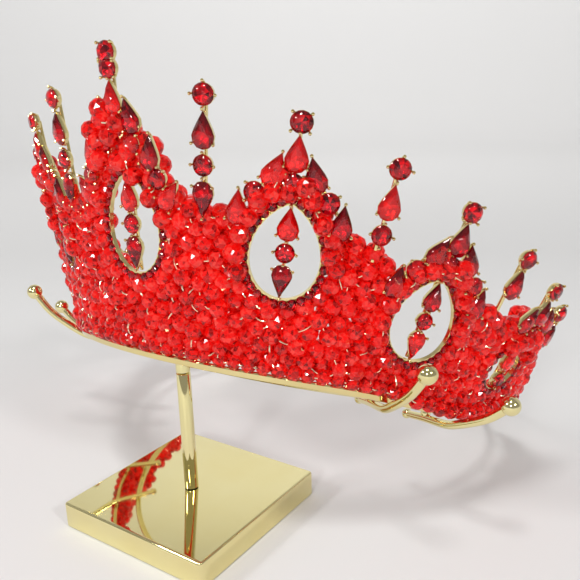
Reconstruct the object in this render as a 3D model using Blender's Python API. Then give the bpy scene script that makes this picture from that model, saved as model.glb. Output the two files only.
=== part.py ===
"""A crystal tiara standing on its plain gold display stand.

The tiara is a leaning wall of wired crystal beads on a flat metal band, cut through by pointed
openings. Each opening has a metal rim, a strand of three set stones and a crest of stones above it,
and a free spike of stones stands between each two crests. The stand is a square base, a post and a
tilted ring with four arms that carry the band. Metres, +Z up, origin under the middle of the base.
"""
import math

import bmesh
import bpy
from mathutils import Matrix, Vector
from mathutils.geometry import delaunay_2d_cdt

# Stand
BASE_SIDE = 0.054
BASE_THICKNESS = 0.008
BASE_EDGE = 0.0006
POST_DIAMETER = 0.0042
POST_HEIGHT = 0.0379
CAP_HEIGHT = 0.0034
RING_ROD = 0.0024
ARM_ROD = 0.0022
ARM_BALL = 0.0052
ARM_BULB = 0.0030
ARM_TAIL = 0.0078
ARM_REACH = 0.0245
ARM_SETTLE = 0.0035
ARM_ROOM = 0.0008
ARM_RISE = 0.0125
STAND_TILT = 20.0
RING_INSET = 0.0158
RING_DROP = 0.0026

# Tiara
RIM_HALF_WIDTH = 0.0769
RIM_DEPTH = 0.0857
RING_MARGIN = 0.0093
RING_RADIUS = RIM_HALF_WIDTH - RING_MARGIN
WALL_LEAN = 22.0
END_PULL = 0.0120
END_FROM = 80.0
END_SPAN = 35.0
CENTRE_HEIGHT = 0.0776
STATION_PITCH = 0.0181
BAND_HEIGHT = 0.0020
BAND_THICKNESS = 0.0014
BAND_END = 8.6
BEADS_END = 8.1
RIM_SAG = 0.0025
SAG_ANGLE = 65.0
SAG_SPREAD = 14.0
WALL_THICKNESS = 0.0040
WALL_FRONT = -0.0003
BEAD_PITCH = 0.0066
BEAD_DEPTH = 0.0012
OPENING_HALF_WIDTH = 0.0092
POINT = 0.72
RIM_WIDTH = 0.0020
RIM_THICKNESS = 0.0027

# Stones
ROUND_STONE = 0.0054
PEAR_WIDTH = 0.0059
PEAR_LENGTH = 0.0086
STONE_STEP = 0.0072
SPIKE_STEP = 0.0081
STRAND_STEP = 0.0075
SETTING_DEPTH = 0.0016
CROWN_HEIGHT = 0.0012
BAR_WIDTH = 0.0011
GAP = 0.0003

GOLD = (0.83, 0.70, 0.36, 1.0)
DARK_RED = (0.30, 0.004, 0.01, 1.0)
BEAD_RED = (0.75, 0.02, 0.012, 1.0)

# One crest motif in each row, at a station of the wall and at its mirror place.
# Heights are shares of CENTRE_HEIGHT; stones counts those of the hanging strand.
MOTIF_COLUMNS = ("number", "station", "crest", "opening_top", "opening_bottom", "width", "stones", "flank")
MOTIF_ROWS = (
    (0, 0.00, 0.950, 0.620, 0.284, 1.00, 3, "centre"),
    (2, 2.02, 0.834, 0.582, 0.272, 1.00, 3, "side"),
    (4, 3.95, 0.684, 0.440, 0.145, 1.00, 3, "side"),
    (6, 5.90, 0.503, 0.262, 0.078, 0.80, 2, "end"),
)
# One free spike in each row: its station, the height of its top stone, its share of SPIKE_STEP
# and its stones.
SPIKE_COLUMNS = ("number", "station", "top", "step", "stones")
SPIKE_ROWS = (
    (1, 1.07, 0.880, 1.00, "RPRP"),
    (3, 3.03, 0.753, 1.00, "RPR"),
    (5, 4.98, 0.600, 0.88, "RP"),
    (7, 6.48, 0.416, 0.88, "RP"),
)
# Upper edge of the bead wall: station, and height as a share of CENTRE_HEIGHT.
CREST_LINE = (
    (0.00, 0.815), (0.24, 0.765), (0.40, 0.670), (0.58, 0.610), (0.78, 0.560), (1.07, 0.540),
    (1.38, 0.535), (1.58, 0.595), (1.78, 0.655), (2.02, 0.690), (2.28, 0.655), (2.48, 0.595),
    (2.66, 0.520), (3.03, 0.508), (3.36, 0.440), (3.58, 0.485), (3.76, 0.530), (3.95, 0.548),
    (4.18, 0.520), (4.36, 0.465), (4.54, 0.415), (4.98, 0.405), (5.32, 0.350), (5.55, 0.380),
    (5.72, 0.405), (5.90, 0.410), (6.08, 0.385), (6.24, 0.325), (6.48, 0.300), (6.90, 0.230),
    (7.40, 0.150), (7.80, 0.095), (8.10, 0.060),
)
# Stones on each side of a crest: kind, place along and down in steps of STONE_STEP, lean in degrees.
FLANK_COLUMNS = ("kind", "along", "down", "lean")
FLANKS = {
    "centre": (
        ("P", 0.72, 1.57, 14.0),
        ("R", 0.70, 2.50, 0.0),
        ("P", 1.47, 2.74, -6.0),
        ("R", 1.75, 3.62, 0.0),
        ("P", 2.20, 4.14, -38.0),
    ),
    "side": (
        ("P", 0.66, 1.60, 18.0),
        ("R", 1.28, 2.40, 0.0),
        ("P", 1.84, 2.98, 2.0),
    ),
    "end": (
        ("P", 0.80, 1.30, 20.0),
    ),
}

# The arms on each side: degrees from the front, and shares of ARM_ROOM under the band and of ARM_RISE.
ARM_COLUMNS = ("angle", "room", "rise")
ARM_ROWS = (
    (48.5, 1.0, 1.0),
    (64.8, 2.5, 0.8),
)
# An arm from its lowest place outward: share of ARM_REACH, and height as a share of its rise.
ARM_CURVE = ((0.00, 0.00), (0.18, 0.02), (0.41, 0.20), (0.70, 0.48), (0.86, 0.74), (1.00, 1.00))


def rows(columns, table):
    return [dict(zip(columns, row)) for row in table]


def clear_scene():
    for item in list(bpy.data.objects):
        bpy.data.objects.remove(item, do_unlink=True)


def material(name, color, metallic, roughness):
    made = bpy.data.materials.new(name)
    made.use_nodes = True
    shader = made.node_tree.nodes["Principled BSDF"]
    shader.inputs["Base Color"].default_value = color
    shader.inputs["Metallic"].default_value = metallic
    shader.inputs["Roughness"].default_value = roughness
    return made


def add_object(name, mesh, finish, parent=None):
    """Link a mesh as one named sub-part, smooth apart from its sharp edges."""
    item = bpy.data.objects.new(name, mesh)
    bpy.context.scene.collection.objects.link(item)
    mesh.materials.clear()
    mesh.materials.append(finish)
    mesh.shade_smooth()
    mesh.set_sharp_from_angle(angle=math.radians(30))
    item.parent = parent
    return item


def mesh_from(points, faces, name="shape"):
    mesh = bpy.data.meshes.new(name)
    mesh.from_pydata([tuple(point) for point in points], [], faces)
    mesh.validate()
    shape = bmesh.new()
    shape.from_mesh(mesh)
    bmesh.ops.recalc_face_normals(shape, faces=shape.faces)
    shape.to_mesh(mesh)
    shape.free()
    return mesh


def union(meshes):
    """Join closed meshes that overlap into one closed body."""
    helpers = [bpy.data.objects.new("helper", mesh) for mesh in meshes]
    others = bpy.data.collections.new("others")
    bpy.context.scene.collection.children.link(others)
    bpy.context.scene.collection.objects.link(helpers[0])
    for helper in helpers[1:]:
        others.objects.link(helper)
    if len(helpers) > 1:
        join = helpers[0].modifiers.new("join", "BOOLEAN")
        join.operation = "UNION"
        join.operand_type = "COLLECTION"
        join.collection = others
    graph = bpy.context.evaluated_depsgraph_get()
    result = bpy.data.meshes.new_from_object(helpers[0].evaluated_get(graph))
    for helper in helpers:
        bpy.data.objects.remove(helper, do_unlink=True)
    bpy.data.collections.remove(others)
    return result


def tube(path, radius, sides, closed=False):
    """A round rod along a path of points, with flat ends or closed into a ring."""
    count = len(path)
    points = []
    for index, centre in enumerate(path):
        if closed:
            along = path[(index + 1) % count] - path[index - 1]
        else:
            along = path[min(index + 1, count - 1)] - path[max(index - 1, 0)]
        along.normalize()
        up = Vector((0, 0, 1)) if abs(along.z) < 0.9 else Vector((1, 0, 0))
        across = along.cross(up).normalized()
        up = across.cross(along)
        for side in range(sides):
            turn = 2 * math.pi * side / sides
            points.append(centre + across * radius * math.cos(turn) + up * radius * math.sin(turn))
    faces = []
    for index in range(count if closed else count - 1):
        here = index * sides
        there = (index + 1) % count * sides
        for side in range(sides):
            after = (side + 1) % sides
            faces.append((here + side, here + after, there + after, there + side))
    if not closed:
        faces.append(tuple(reversed(range(sides))))
        faces.append(tuple(range((count - 1) * sides, count * sides)))
    return mesh_from(points, faces)


def ball(centre, diameter):
    shape = bmesh.new()
    bmesh.ops.create_uvsphere(shape, u_segments=10, v_segments=6, radius=diameter / 2)
    bmesh.ops.translate(shape, verts=shape.verts, vec=centre)
    mesh = bpy.data.meshes.new("ball")
    shape.to_mesh(mesh)
    shape.free()
    return mesh


def turned(profile, sides=16):
    """A solid turned about +Z through (radius, height) points, from bottom to top."""
    points = []
    for radius, height in profile:
        for side in range(sides):
            turn = 2 * math.pi * side / sides
            points.append((radius * math.cos(turn), radius * math.sin(turn), height))
    faces = [tuple(reversed(range(sides)))]
    for level in range(len(profile) - 1):
        for side in range(sides):
            after = (side + 1) % sides
            low = level * sides
            high = low + sides
            faces.append((low + side, low + after, high + after, high + side))
    faces.append(tuple(range((len(profile) - 1) * sides, len(profile) * sides)))
    return mesh_from(points, faces)


# The wall of the tiara: a place on it is an arc along the rim, a height up the slope and a depth
# outward from its middle surface.
RIM_STEPS = 720
RIM_LIMIT = math.radians(150)


def rim_table():
    """Plan angles from the front and the rim's length up to each of them."""
    angles = [RIM_LIMIT * index / RIM_STEPS for index in range(RIM_STEPS + 1)]
    lengths = [0.0]
    for before, after in zip(angles, angles[1:]):
        middle = (before + after) / 2
        pace = math.hypot(RIM_HALF_WIDTH * math.cos(middle), RIM_DEPTH * math.sin(middle))
        lengths.append(lengths[-1] + pace * (after - before))
    return angles, lengths


RIM_ANGLES, RIM_LENGTHS = rim_table()


def plan_angle(arc):
    length = min(abs(arc), RIM_LENGTHS[-1])
    low = 0
    high = RIM_STEPS
    while high - low > 1:
        middle = (low + high) // 2
        if RIM_LENGTHS[middle] > length:
            high = middle
        else:
            low = middle
    share = (length - RIM_LENGTHS[low]) / (RIM_LENGTHS[high] - RIM_LENGTHS[low])
    angle = RIM_ANGLES[low] + share * (RIM_ANGLES[high] - RIM_ANGLES[low])
    return math.copysign(angle, arc)


def pull_at(angle):
    """How far the wall is turned inward towards its open ends."""
    share = max(0.0, (abs(math.degrees(angle)) - END_FROM) / END_SPAN)
    return END_PULL * share * share


def sag_at(angle):
    off = (abs(math.degrees(angle)) - SAG_ANGLE) / SAG_SPREAD
    return RIM_SAG * math.exp(-off * off)


def wall_point(arc, height, out):
    """A place on the wall, in the tilted frame whose origin is the front of the stand's ring."""
    angle = plan_angle(arc)
    across = math.sin(angle) / RIM_HALF_WIDTH
    forward = -math.cos(angle) / RIM_DEPTH
    size = math.hypot(across, forward)
    lean = math.radians(WALL_LEAN)
    reach = height * math.sin(lean) + out * math.cos(lean) - pull_at(angle)
    x = RIM_HALF_WIDTH * math.sin(angle) + reach * across / size
    y = -RIM_DEPTH * math.cos(angle) + reach * forward / size
    z = height * math.cos(lean) - out * math.sin(lean) - sag_at(angle)
    return Vector((x, y + RIM_DEPTH - RING_INSET, z + RING_DROP))


def stretch(height):
    """How much longer the wall is at a height than along its rim."""
    radius = (RIM_HALF_WIDTH + RIM_DEPTH) / 2
    return 1 + height * math.sin(math.radians(WALL_LEAN)) / radius


def bend_to_wall(mesh, arc, height):
    """Lay a flat piece, made with x along, y up and z outward, on the wall."""
    for vertex in mesh.vertices:
        place = vertex.co
        vertex.co = wall_point(arc + place.x / stretch(height), height + place.y, place.z)
    return mesh


def round_outline(diameter):
    radius = diameter / 2
    turns = [math.pi * (2 * index + 1) / 8 for index in range(8)]
    return [Vector((radius * math.cos(turn), radius * math.sin(turn))) for turn in turns]


def pear_outline(width, length):
    """A drop with its point up, centred on its length: a round foot and straight shoulders."""
    radius = width / 2
    foot = -length / 2 + radius
    turns = [math.radians(angle) for angle in (-90, -48, -8, 30)]
    right = [Vector((radius * math.cos(turn), foot + radius * math.sin(turn))) for turn in turns]
    shoulder = Vector((radius * 0.42, foot + (length / 2 - foot) * 0.62))
    tip = Vector((0, length / 2))
    left = [Vector((-point.x, point.y)) for point in reversed(right[1:])]
    return right + [shoulder, tip, Vector((-shoulder.x, shoulder.y))] + left


def stone(kind, centre, lean, back, size=1.0):
    """A cut stone in its setting: a cup, a ring of crown facets and a flat table."""
    if kind == "R":
        outline = round_outline(ROUND_STONE * size)
    else:
        outline = pear_outline(PEAR_WIDTH * size, PEAR_LENGTH * size)
    turn = Matrix.Rotation(math.radians(-lean), 2)
    levels = ((0.86, back), (1.0, back + SETTING_DEPTH), (0.56, back + SETTING_DEPTH + CROWN_HEIGHT))
    points = []
    for share, depth in levels:
        for corner in outline:
            flat = turn @ (corner * share) + centre
            points.append(Vector((flat.x, flat.y, depth)))
    sides = len(outline)
    faces = [tuple(reversed(range(sides)))]
    for level in range(len(levels) - 1):
        for side in range(sides):
            after = (side + 1) % sides
            low = level * sides
            faces.append((low + side, low + after, low + sides + after, low + sides + side))
    faces.append(tuple(range(2 * sides, 3 * sides)))
    return mesh_from(points, faces)


def bar(start, end, back):
    """A flat metal bar between two places of the wall, soldered under the settings."""
    along = (end - start).normalized()
    across = Vector((-along.y, along.x)) * BAR_WIDTH / 2
    corners = (start - across, start + across, end + across, end - across)
    depths = (back + 0.02 * SETTING_DEPTH, back + 0.6 * SETTING_DEPTH)
    points = [Vector((corner.x, corner.y, depth)) for depth in depths for corner in corners]
    faces = [(3, 2, 1, 0), (4, 5, 6, 7), (0, 1, 5, 4), (1, 2, 6, 5), (2, 3, 7, 6), (3, 0, 4, 7)]
    return mesh_from(points, faces)


def crest(motif):
    """The stones above an opening, flat, with the top stone's centre at y = 0."""
    back = WALL_FRONT + GAP
    top = Vector((0, 0))
    pear = Vector((0, -STONE_STEP))
    heart = Vector((0, -1.97 * STONE_STEP))
    pieces = [bar(top, heart, back)]
    stones = [("R", top, 0.0), ("P", pear, 0.0), ("R", heart, 0.0)]
    if motif["flank"] == "centre":
        crown = Vector((0, 0.52 * STONE_STEP))
        stones.append(("R", crown, 0.0))
        pieces.append(bar(crown, top, back))
    for side in (-1, 1):
        before = pear
        for row in rows(FLANK_COLUMNS, FLANKS[motif["flank"]]):
            place = Vector((side * row["along"], -row["down"])) * STONE_STEP
            stones.append((row["kind"], place, -side * row["lean"]))
            pieces.append(bar(before, place, back))
            before = place
    pieces += [stone(kind, centre, lean, back) for kind, centre, lean in stones]
    return union(pieces)


def spike(row):
    """A free standing row of stones, flat, with the top stone's centre at y = 0."""
    back = WALL_FRONT + GAP
    step = row["step"] * SPIKE_STEP
    stones = []
    for index, kind in enumerate(row["stones"]):
        lean = 180.0 if index == 3 else 0.0
        stones.append((kind, Vector((0, -index * step)), lean))
    foot_height = edge_height(row["station"]) - BEAD_PITCH
    foot = Vector((0, foot_height - row["top"] * CENTRE_HEIGHT))
    foot.y = min(foot.y, -(len(stones) - 1) * step - 0.6 * ROUND_STONE)
    pieces = [bar(Vector((0, 0)), foot, back)]
    pieces += [stone(kind, centre, lean, back) for kind, centre, lean in stones]
    return union(pieces)


def strand(motif):
    """The stones that hang in an opening on one bar, flat, with the opening's top at y = 0."""
    height = (motif["opening_top"] - motif["opening_bottom"]) * CENTRE_HEIGHT
    back = WALL_FRONT - SETTING_DEPTH
    last = PEAR_LENGTH if motif["stones"] == 3 else ROUND_STONE
    need = STRAND_STEP * (motif["stones"] - 1) + (PEAR_LENGTH + last) / 2 + 4 * GAP
    size = min(1.0, height / need)
    start = (size * (need / 2 - PEAR_LENGTH / 2 - 2 * GAP)) - height / 2
    pieces = [bar(Vector((0, -0.9 * BAR_WIDTH)), Vector((0, GAP - height)), back)]
    for index in range(motif["stones"]):
        kind = "R" if index == 1 else "P"
        lean = 180.0 if index == 2 else 0.0
        place = Vector((0, start - index * STRAND_STEP * size))
        pieces.append(stone(kind, place, lean, back, size))
    return union(pieces)


def opening_outline(motif, grow, steps):
    """Outline of an opening, grown by a margin: pointed above and round below."""
    height = (motif["opening_top"] - motif["opening_bottom"]) * CENTRE_HEIGHT
    half = OPENING_HALF_WIDTH * motif["width"]
    belly = POINT / (POINT + 0.5)
    widest = belly ** POINT * (1 - belly) ** 0.5
    side = []
    for index in range(1, steps):
        share = (1 - math.cos(math.pi * index / steps)) / 2
        width = half * share ** POINT * (1 - share) ** 0.5 / widest
        side.append(Vector((width, -share * height)))
    outline = [Vector((0, 0))] + side + [Vector((0, -height))]
    outline += [Vector((-point.x, point.y)) for point in reversed(side)]
    count = len(outline)
    grown = []
    for index, point in enumerate(outline):
        along = (outline[(index + 1) % count] - outline[index - 1]).normalized()
        grown.append(point + Vector((-along.y, along.x)) * grow)
    return grown


def opening_rim(motif):
    """The metal rim of an opening, a flat strip bent round its outline."""
    inner = opening_outline(motif, 0.0, 13)
    outer = opening_outline(motif, RIM_WIDTH, 13)
    front = WALL_FRONT
    points = []
    for line, depth in ((inner, front - RIM_THICKNESS), (inner, front),
                        (outer, front), (outer, front - RIM_THICKNESS)):
        points += [Vector((point.x, point.y, depth)) for point in line]
    count = len(inner)
    faces = []
    for index in range(count):
        after = (index + 1) % count
        for band in range(4):
            low = band * count
            high = (band + 1) % 4 * count
            faces.append((low + index, low + after, high + after, high + index))
    return mesh_from(points, faces)


def edge_height(station):
    """Height of the bead wall's upper edge at a station."""
    place = abs(station)
    for (before, low), (after, high) in zip(CREST_LINE, CREST_LINE[1:]):
        if place <= after:
            share = (place - before) / (after - before)
            return (low + share * (high - low)) * CENTRE_HEIGHT
    return CREST_LINE[-1][1] * CENTRE_HEIGHT


def wall_outline():
    """Outer outline of the bead wall as (arc, height), with one scallop for each bead on top."""
    end = BEADS_END * STATION_PITCH
    steps = 2 * round(end / (0.5 * BEAD_PITCH))
    top = []
    for index in range(steps + 1):
        arc = end - 2 * end * index / steps
        scallop = 0.35 * BEAD_DEPTH if index % 2 else -0.35 * BEAD_DEPTH
        top.append(Vector((arc, edge_height(arc / STATION_PITCH) + scallop)))
    low_steps = steps // 2
    low = [Vector((-end + 2 * end * index / low_steps, GAP)) for index in range(low_steps + 1)]
    return low + top


def inside(point, loop):
    crossings = 0
    for start, end in zip(loop, loop[1:] + loop[:1]):
        if (start.y > point.y) != (end.y > point.y):
            share = (point.y - start.y) / (end.y - start.y)
            if start.x + share * (end.x - start.x) > point.x:
                crossings += 1
    return crossings % 2 == 1


def near_loop(point, loop, margin):
    for start, end in zip(loop, loop[1:] + loop[:1]):
        along = end - start
        share = max(0.0, min(1.0, (point - start).dot(along) / along.length_squared))
        if (start + along * share - point).length < margin:
            return True
    return False


def lattice(loops, pitch, margin):
    """Bead centres and the hollows between them, kept inside the outline and off the openings."""
    centres = []
    hollows = []
    reach = BEADS_END * STATION_PITCH
    row_step = pitch * math.sqrt(3) / 2
    for row in range(int(CENTRE_HEIGHT / row_step) + 2):
        for column in range(-int(reach / pitch) - 1, int(reach / pitch) + 2):
            centre = Vector(((column + 0.5 * (row % 2)) * pitch, row * row_step))
            around = (centre + Vector((pitch / 2, row_step / 3)), centre + Vector((0, row_step * 2 / 3)))
            for place, keep in ((centre, centres), (around[0], hollows), (around[1], hollows)):
                if not inside(place, loops[0]) or any(inside(place, hole) for hole in loops[1:]):
                    continue
                if not any(near_loop(place, loop, margin) for loop in loops):
                    keep.append(place)
    return centres, hollows


def sheet(loops, places):
    """Triangles that fill the outline around its openings through the given places."""
    points = [point for loop in loops for point in loop]
    edges = []
    first = 0
    for loop in loops:
        edges += [(first + index, first + (index + 1) % len(loop)) for index in range(len(loop))]
        first += len(loop)
    made = delaunay_2d_cdt(points + places, edges, [], 1, 1e-7)
    faces = []
    for face in made[2]:
        middle = sum((made[0][corner] for corner in face), Vector((0, 0))) / 3
        if inside(middle, loops[0]) and not any(inside(middle, hole) for hole in loops[1:]):
            faces.append(tuple(made[3][corner][0] for corner in face))
    return faces


def bead_wall(motifs):
    """The thick sheet of wired beads: a bumpy front, a smooth back and the openings cut through."""
    loops = [wall_outline()]
    for motif in motifs:
        height = motif["opening_top"] * CENTRE_HEIGHT
        outline = opening_outline(motif, RIM_WIDTH + GAP, 11)
        middle = height - 0.5 * OPENING_HALF_WIDTH
        spread = [Vector((motif["arc"] + point.x / stretch(middle), height + point.y)) for point in outline]
        loops.append(spread)
    edge = [point for loop in loops for point in loop]
    centres, hollows = lattice(loops, BEAD_PITCH, 0.25 * BEAD_PITCH)
    posts, fillers = lattice(loops, 2.2 * BEAD_PITCH, 0.6 * BEAD_PITCH)
    front = WALL_FRONT
    back = WALL_FRONT - WALL_THICKNESS
    low = front - BEAD_DEPTH
    places = [wall_point(point.x, point.y, front - 0.5 * BEAD_DEPTH) for point in edge]
    places += [wall_point(point.x, point.y, front) for point in centres]
    places += [wall_point(point.x, point.y, low) for point in hollows]
    shift = len(places)
    places += [wall_point(point.x, point.y, back) for point in edge + posts]
    faces = list(sheet(loops, centres + hollows))
    faces += [tuple(corner + shift for corner in reversed(face)) for face in sheet(loops, posts)]
    first = 0
    for loop in loops:
        count = len(loop)
        for index in range(count):
            here = first + index
            there = first + (index + 1) % count
            faces.append((here, there, there + shift, here + shift))
        first += count
    return mesh_from(places, faces)


def band():
    """The flat metal band along the rim, open at the back of the head."""
    end = BAND_END * STATION_PITCH
    steps = 56
    front = 0.3 * BAND_THICKNESS
    back = front - BAND_THICKNESS
    section = ((-BAND_HEIGHT, back), (-BAND_HEIGHT, front), (0.0, front), (0.0, back))
    points = []
    for index in range(steps + 1):
        arc = -end + 2 * end * index / steps
        points += [wall_point(arc, height, out) for height, out in section]
    faces = [(3, 2, 1, 0), tuple(4 * steps + corner for corner in range(4))]
    for index in range(steps):
        for side in range(4):
            after = (side + 1) % 4
            low = 4 * index
            faces.append((low + side, low + after, low + 4 + after, low + 4 + side))
    return mesh_from(points, faces)


def seat_place(angle):
    """Middle of the band's lower edge at an angle from the ring's middle: radius and height."""
    turn = math.radians(angle)
    depth = -0.2 * BAND_THICKNESS
    feet = [wall_point(arc * STATION_PITCH / 20, -BAND_HEIGHT, depth) for arc in range(20, 150)]
    best = min(feet, key=lambda place: abs(math.atan2(place.x, RING_RADIUS - place.y) - turn))
    return math.hypot(best.x, RING_RADIUS - best.y), best.z


def arm(side, row):
    """One arm: a bulb inside the ring, a rod soldered under it, and a ball outside the band."""
    seat_radius, seat_height = seat_place(row["angle"])
    low = seat_height - row["room"] * ARM_ROOM - ARM_ROD / 2
    weld = min(-(RING_ROD + ARM_ROD) / 2 + 0.25 * ARM_ROD, low)
    start = seat_radius - ARM_SETTLE
    route = [
        (RING_RADIUS - ARM_TAIL, weld - 0.2 * ARM_ROD),
        (RING_RADIUS - 0.45 * ARM_TAIL, weld - 0.1 * ARM_ROD),
        (RING_RADIUS, weld),
    ]
    rise = row["rise"] * ARM_RISE
    route += [(start + share * ARM_REACH, low + climb * rise) for share, climb in ARM_CURVE]
    turn = math.radians(row["angle"])
    path = []
    for radius, height in route:
        path.append(Vector((side * radius * math.sin(turn), RING_RADIUS - radius * math.cos(turn), height)))
    joint = [path[2], Vector((path[2].x, path[2].y, 0))]
    return [tube(path, ARM_ROD / 2, 6), tube(joint, 0.6 * ARM_ROD, 8),
            ball(path[0], ARM_BULB), ball(path[-1], ARM_BALL)]


def stand_ring():
    """Ring, arms and the post's cap, soldered into one; the cap stands upright under the ring."""
    turns = [2 * math.pi * index / 40 for index in range(40)]
    path = [Vector((RING_RADIUS * math.sin(turn), RING_RADIUS * (1 - math.cos(turn)), 0)) for turn in turns]
    pieces = [tube(path, RING_ROD / 2, 6, closed=True)]
    for side in (-1, 1):
        for row in rows(ARM_COLUMNS, ARM_ROWS):
            pieces += arm(side, row)
    radius = POST_DIAMETER / 2
    dome = [(radius, 0.0), (0.8 * radius, 0.35 * radius), (0.4 * radius, 0.55 * radius)]
    cap = turned([(radius, -CAP_HEIGHT)] + dome, 12)
    cap.transform(Matrix.Rotation(math.radians(STAND_TILT), 4, "X"))
    return union(pieces + [cap])


def stand_base():
    shape = bmesh.new()
    bmesh.ops.create_cube(shape, size=1.0)
    bmesh.ops.scale(shape, vec=(BASE_SIDE, BASE_SIDE, BASE_THICKNESS), verts=shape.verts)
    bmesh.ops.translate(shape, vec=(0, 0, BASE_THICKNESS / 2), verts=shape.verts)
    bmesh.ops.bevel(shape, geom=shape.edges[:], offset=BASE_EDGE, segments=2, profile=0.5, affect="EDGES")
    mesh = bpy.data.meshes.new("base")
    shape.to_mesh(mesh)
    shape.free()
    return mesh


def build():
    clear_scene()
    gold = material("pale_gold", GOLD, 1.0, 0.18)
    dark = material("deep_red_stone", DARK_RED, 0.0, 0.08)
    beads = material("red_crystal_bead", BEAD_RED, 0.0, 0.1)
    foot = BASE_THICKNESS + GAP
    radius = POST_DIAMETER / 2
    post = turned([(radius, foot), (radius, BASE_THICKNESS + POST_HEIGHT)])
    add_object("stand_base", stand_base(), gold)
    add_object("stand_post", post, gold)
    ring_height = BASE_THICKNESS + POST_HEIGHT + GAP + CAP_HEIGHT
    tilted = bpy.data.objects.new("tilted_ring_plane", None)
    tilted.location = (0, 0, ring_height)
    tilted.rotation_euler = (math.radians(-STAND_TILT), 0, 0)
    bpy.context.scene.collection.objects.link(tilted)
    add_object("stand_ring", stand_ring(), gold, tilted)
    add_object("tiara_band", band(), gold, tilted)
    motifs = []
    for row in rows(MOTIF_COLUMNS, MOTIF_ROWS):
        sides = (("centre", 0),) if row["number"] == 0 else (("left", -1), ("right", 1))
        for side, sign in sides:
            label = side if sign == 0 else side + "_" + str(row["number"])
            motifs.append(dict(row, label=label, arc=sign * row["station"] * STATION_PITCH))
    add_object("bead_wall", bead_wall(motifs), beads, tilted)
    for motif in motifs:
        arc = motif["arc"]
        top = motif["opening_top"] * CENTRE_HEIGHT
        label = motif["label"]
        add_object("opening_rim_" + label, bend_to_wall(opening_rim(motif), arc, top), gold, tilted)
        add_object("strand_" + label, bend_to_wall(strand(motif), arc, top), dark, tilted)
        crown = motif["crest"] * CENTRE_HEIGHT
        add_object("crest_" + label, bend_to_wall(crest(motif), arc, crown), dark, tilted)
    for row in rows(SPIKE_COLUMNS, SPIKE_ROWS):
        for side, sign in (("left", -1), ("right", 1)):
            label = side + "_" + str(row["number"])
            top = row["top"] * CENTRE_HEIGHT
            arc = sign * row["station"] * STATION_PITCH
            add_object("spike_" + label, bend_to_wall(spike(row), arc, top), dark, tilted)


build()
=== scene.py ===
"""The looks of a red crystal tiara on its pale gold display stand."""

import math

import bpy
import numpy as np
from mathutils import Matrix, Vector


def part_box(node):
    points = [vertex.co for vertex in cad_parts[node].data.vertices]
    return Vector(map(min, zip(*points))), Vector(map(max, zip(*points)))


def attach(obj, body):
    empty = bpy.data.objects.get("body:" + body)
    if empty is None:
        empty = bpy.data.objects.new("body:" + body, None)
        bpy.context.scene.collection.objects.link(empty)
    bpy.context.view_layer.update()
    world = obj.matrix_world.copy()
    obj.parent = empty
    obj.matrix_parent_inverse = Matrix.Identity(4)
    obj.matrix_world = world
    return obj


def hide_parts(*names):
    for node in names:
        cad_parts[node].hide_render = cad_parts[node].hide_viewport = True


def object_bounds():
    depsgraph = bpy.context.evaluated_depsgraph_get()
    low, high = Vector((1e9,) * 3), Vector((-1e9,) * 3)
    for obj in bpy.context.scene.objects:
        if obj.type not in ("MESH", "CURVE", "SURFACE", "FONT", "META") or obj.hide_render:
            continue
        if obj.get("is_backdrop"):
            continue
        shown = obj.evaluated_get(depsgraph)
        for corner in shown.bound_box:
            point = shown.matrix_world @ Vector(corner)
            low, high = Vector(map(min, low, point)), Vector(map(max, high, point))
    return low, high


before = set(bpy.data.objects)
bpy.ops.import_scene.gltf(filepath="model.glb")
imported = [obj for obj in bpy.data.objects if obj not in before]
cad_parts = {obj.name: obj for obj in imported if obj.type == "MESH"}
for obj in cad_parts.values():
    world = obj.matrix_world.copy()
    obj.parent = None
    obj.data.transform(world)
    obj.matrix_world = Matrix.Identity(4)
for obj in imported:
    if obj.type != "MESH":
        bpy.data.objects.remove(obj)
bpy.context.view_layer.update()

# Stand base
# A heavy square slab with softened edges, plated a pale mirror gold. The plating is very smooth,
# with faint waves from polishing and the lightest haze from handling.
BASE_LOW, BASE_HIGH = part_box("stand_base")
BASE_SOFT_EDGE = 0.0007
SOFT_ANGLE = 35
PALE_GOLD = (0.86, 0.785, 0.44, 1.0)
WARM_GOLD = (0.82, 0.715, 0.34, 1.0)


class Shade:
    """A socket of a material's nodes that can be used in Python sums."""

    def __init__(self, tree, socket=None):
        self.tree = tree
        self.socket = socket

    def node(self, kind, settings=None, inputs=None, output=0):
        made = self.tree.nodes.new(kind)
        for key, value in (settings or {}).items():
            if key == "stops":
                ramp = made.color_ramp
                while len(ramp.elements) < len(value):
                    ramp.elements.new(1.0)
                for element, (place, color) in zip(ramp.elements, value):
                    element.position = place
                    element.color = color
            else:
                setattr(made, key, value)
        for key, value in (inputs or {}).items():
            if isinstance(value, Shade):
                self.tree.links.new(value.socket, made.inputs[key])
            else:
                made.inputs[key].default_value = value
        return Shade(self.tree, made.outputs[output])

    def sum_of(self, operation, first, second):
        return self.node("ShaderNodeMath", {"operation": operation}, {0: first, 1: second})

    def __add__(self, other):
        return self.sum_of("ADD", self, other)

    def __radd__(self, other):
        return self.sum_of("ADD", other, self)

    def __sub__(self, other):
        return self.sum_of("SUBTRACT", self, other)

    def __rsub__(self, other):
        return self.sum_of("SUBTRACT", other, self)

    def __mul__(self, other):
        return self.sum_of("MULTIPLY", self, other)

    def __rmul__(self, other):
        return self.sum_of("MULTIPLY", other, self)

    def at_least(self, low):
        return self.sum_of("MAXIMUM", self, low)

    def mix_to(self, first, second):
        """A colour between two, with this socket as the share of the second."""
        inputs = {0: self, 6: first, 7: second}
        return self.node("ShaderNodeMix", {"data_type": "RGBA"}, inputs, 2)


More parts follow.
